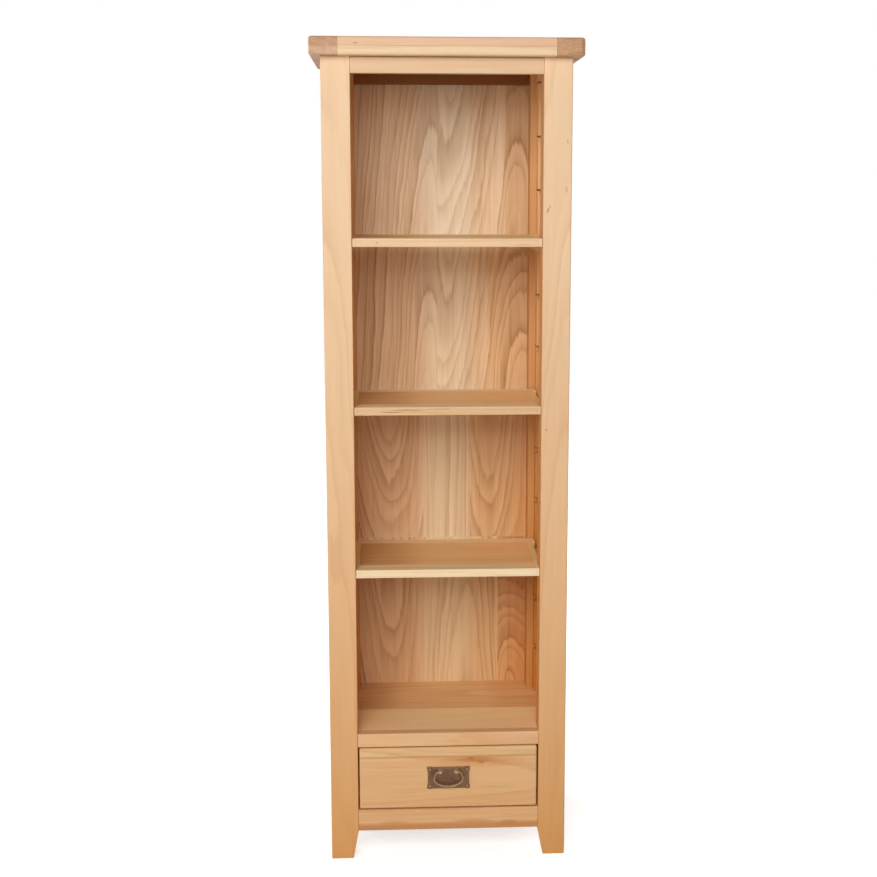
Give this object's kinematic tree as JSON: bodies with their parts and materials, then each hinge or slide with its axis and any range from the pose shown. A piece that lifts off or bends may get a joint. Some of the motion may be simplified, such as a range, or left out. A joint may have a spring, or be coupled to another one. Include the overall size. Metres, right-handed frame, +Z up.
{
  "type": "bookcase",
  "caption": "Tall narrow natural oak bookcase: open front, loose adjustable shelves on notched battens, overhanging top, tapered feet and a bottom drawer with a brass bail handle.",
  "frame": {"origin": "on the floor, in the middle of the whole outline seen from above", "axes": "+X to the bookcase's right side as seen from the front, +Y to its back, +Z up; the open front faces -Y"},
  "size_m": [0.572, 0.388, 1.8],
  "materials": {
    "oak_post": "clear-oiled oak, long straight grain",
    "oak_rail": "clear-oiled oak, straight grain",
    "oak_top": "clear-oiled oak, edges eased by hand",
    "oak_end_grain": "clear-oiled oak, end grain showing",
    "oak_panel": "oak, crown-cut figure",
    "oak_batten": "clear-oiled oak",
    "oak_shelf": "clear-oiled oak",
    "oak_lipping": "pale clear-oiled oak",
    "oak_floor": "clear-oiled oak planks",
    "oak_drawer": "clear-oiled oak with a small knot",
    "oak_liner": "plain planed oak",
    "antique_brass": "darkened antique brass, rubbed bright on the high spots"
  },
  "bodies": {
    "carcass": {"back_panel": "oak_panel", "bottom_rail": "oak_rail", "drawer_runner_left": "oak_liner", "drawer_runner_right": "oak_liner", "floor_plank_front": "oak_floor", "floor_plank_rear": "oak_floor", "floor_rail": "oak_rail", "front_batten_left": "oak_batten", "front_batten_right": "oak_batten", "front_post_left": "oak_post", "front_post_right": "oak_post", "front_top_rail": "oak_rail", "rear_batten_left": "oak_batten", "rear_batten_right": "oak_batten", "rear_bottom_rail": "oak_rail", "rear_post_left": "oak_post", "rear_post_right": "oak_post", "rear_top_rail": "oak_rail", "side_bottom_rail_left": "oak_rail", "side_bottom_rail_right": "oak_rail", "side_panel_left": "oak_panel", "side_panel_right": "oak_panel", "side_top_rail_left": "oak_rail", "side_top_rail_right": "oak_rail", "top_board": "oak_top", "top_end_left": "oak_end_grain", "top_end_right": "oak_end_grain", "top_front_strip": "oak_top", "top_rear_strip": "oak_top"},
    "drawer": {"drawer_back": "oak_liner", "drawer_bottom": "oak_liner", "drawer_front": "oak_drawer", "drawer_side_left": "oak_liner", "drawer_side_right": "oak_liner", "handle_pivot_left": "antique_brass", "handle_pivot_right": "antique_brass", "handle_plate": "antique_brass"},
    "bail": {"handle_bail": "antique_brass"},
    "shelf_1": {"shelf_1_end_edge_left": "oak_lipping", "shelf_1_end_edge_right": "oak_lipping", "shelf_1_front_edge": "oak_lipping", "shelf_1_panel": "oak_shelf", "shelf_1_rear_edge": "oak_lipping"},
    "shelf_2": {"shelf_2_end_edge_left": "oak_lipping", "shelf_2_end_edge_right": "oak_lipping", "shelf_2_front_edge": "oak_lipping", "shelf_2_panel": "oak_shelf", "shelf_2_rear_edge": "oak_lipping"},
    "shelf_3": {"shelf_3_end_edge_left": "oak_lipping", "shelf_3_end_edge_right": "oak_lipping", "shelf_3_front_edge": "oak_lipping", "shelf_3_panel": "oak_shelf", "shelf_3_rear_edge": "oak_lipping"},
    "rest_1_left": {"shelf_1_rest_left": "oak_batten"},
    "rest_1_right": {"shelf_1_rest_right": "oak_batten"},
    "rest_2_left": {"shelf_2_rest_left": "oak_batten"},
    "rest_2_right": {"shelf_2_rest_right": "oak_batten"},
    "rest_3_left": {"shelf_3_rest_left": "oak_batten"},
    "rest_3_right": {"shelf_3_rest_right": "oak_batten"}
  },
  "joints": [
    {"name": "drawer_slide", "type": "slide", "parent": "carcass", "child": "drawer", "axis": [0, -1, 0], "range_m": [0, 0.23]},
    {"name": "bail_swing", "type": "hinge", "parent": "drawer", "child": "bail", "pos_m": [0, -0.1811, 0.2035], "axis": [-1, 0, 0], "range_deg": [-8, 170]},
    {"name": "shelf_1_lift", "type": "slide", "parent": "carcass", "child": "shelf_1", "axis": [0, 0, 1], "range_m": [0, 0.32]},
    {"name": "shelf_2_lift", "type": "slide", "parent": "carcass", "child": "shelf_2", "axis": [0, 0, 1], "range_m": [0, 0.32]},
    {"name": "shelf_3_lift", "type": "slide", "parent": "carcass", "child": "shelf_3", "axis": [0, 0, 1], "range_m": [0, 0.32]},
    {"name": "rest_1_left_slide", "type": "slide", "parent": "carcass", "child": "rest_1_left", "axis": [1, 0, 0], "range_m": [0, 0.03]},
    {"name": "rest_1_right_slide", "type": "slide", "parent": "carcass", "child": "rest_1_right", "axis": [-1, 0, 0], "range_m": [0, 0.03]},
    {"name": "rest_2_left_slide", "type": "slide", "parent": "carcass", "child": "rest_2_left", "axis": [1, 0, 0], "range_m": [0, 0.03]},
    {"name": "rest_2_right_slide", "type": "slide", "parent": "carcass", "child": "rest_2_right", "axis": [-1, 0, 0], "range_m": [0, 0.03]},
    {"name": "rest_3_left_slide", "type": "slide", "parent": "carcass", "child": "rest_3_left", "axis": [1, 0, 0], "range_m": [0, 0.03]},
    {"name": "rest_3_right_slide", "type": "slide", "parent": "carcass", "child": "rest_3_right", "axis": [-1, 0, 0], "range_m": [0, 0.03]}
  ]
}
